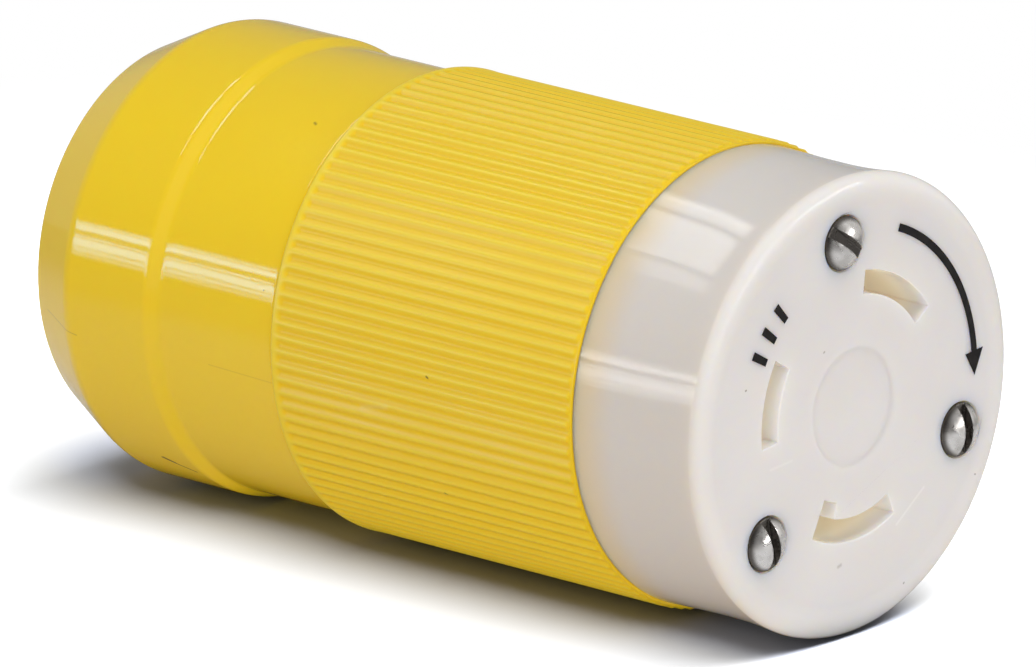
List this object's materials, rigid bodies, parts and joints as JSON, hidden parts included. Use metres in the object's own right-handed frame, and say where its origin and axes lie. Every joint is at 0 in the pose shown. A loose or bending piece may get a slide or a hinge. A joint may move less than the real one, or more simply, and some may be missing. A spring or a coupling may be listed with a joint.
{
  "type": "locking power cord connector",
  "caption": "Round female locking connector for a marine power cord: pale slotted face, ribbed yellow grip housing and smooth boot over the cable clamp.",
  "frame": {"origin": "centre of the flat rear end, where the connector stands", "axes": "+Z along the connector's axis from the cable entry to the face; seen from the front with +Y up, +X is to the right"},
  "size_m": [0.052, 0.052, 0.1016],
  "materials": {
    "nylon": "moulded nylon, slightly translucent",
    "yellow_housing": "moulded, satin, fine ribs",
    "yellow_boot": "soft moulded, glossy",
    "brass": "formed strip",
    "steel": "zinc plated",
    "stainless": "stainless",
    "black_rubber": "matt"
  },
  "bodies": {
    "root": {"front_body": "nylon", "housing_seal": "black_rubber", "terminal_block": "nylon", "contact_line_1": "brass", "contact_line_2": "brass", "contact_earth": "brass", "pressure_plate_1": "steel", "pressure_plate_2": "steel", "pressure_plate_earth": "steel", "terminal_screw_1": "brass", "terminal_screw_2": "brass", "terminal_screw_earth": "brass", "assembly_screw_1": "stainless", "assembly_screw_2": "stainless", "assembly_screw_3": "stainless", "boss_insert_1": "brass", "boss_insert_2": "brass", "boss_insert_3": "brass", "grip_housing": "yellow_housing", "cord_grommet": "black_rubber", "cord_clamp": "yellow_housing", "clamp_screw_left": "stainless", "clamp_screw_right": "stainless", "clamp_nut_left": "steel", "clamp_nut_right": "steel", "boot": "yellow_boot"}
  },
  "joints": []
}
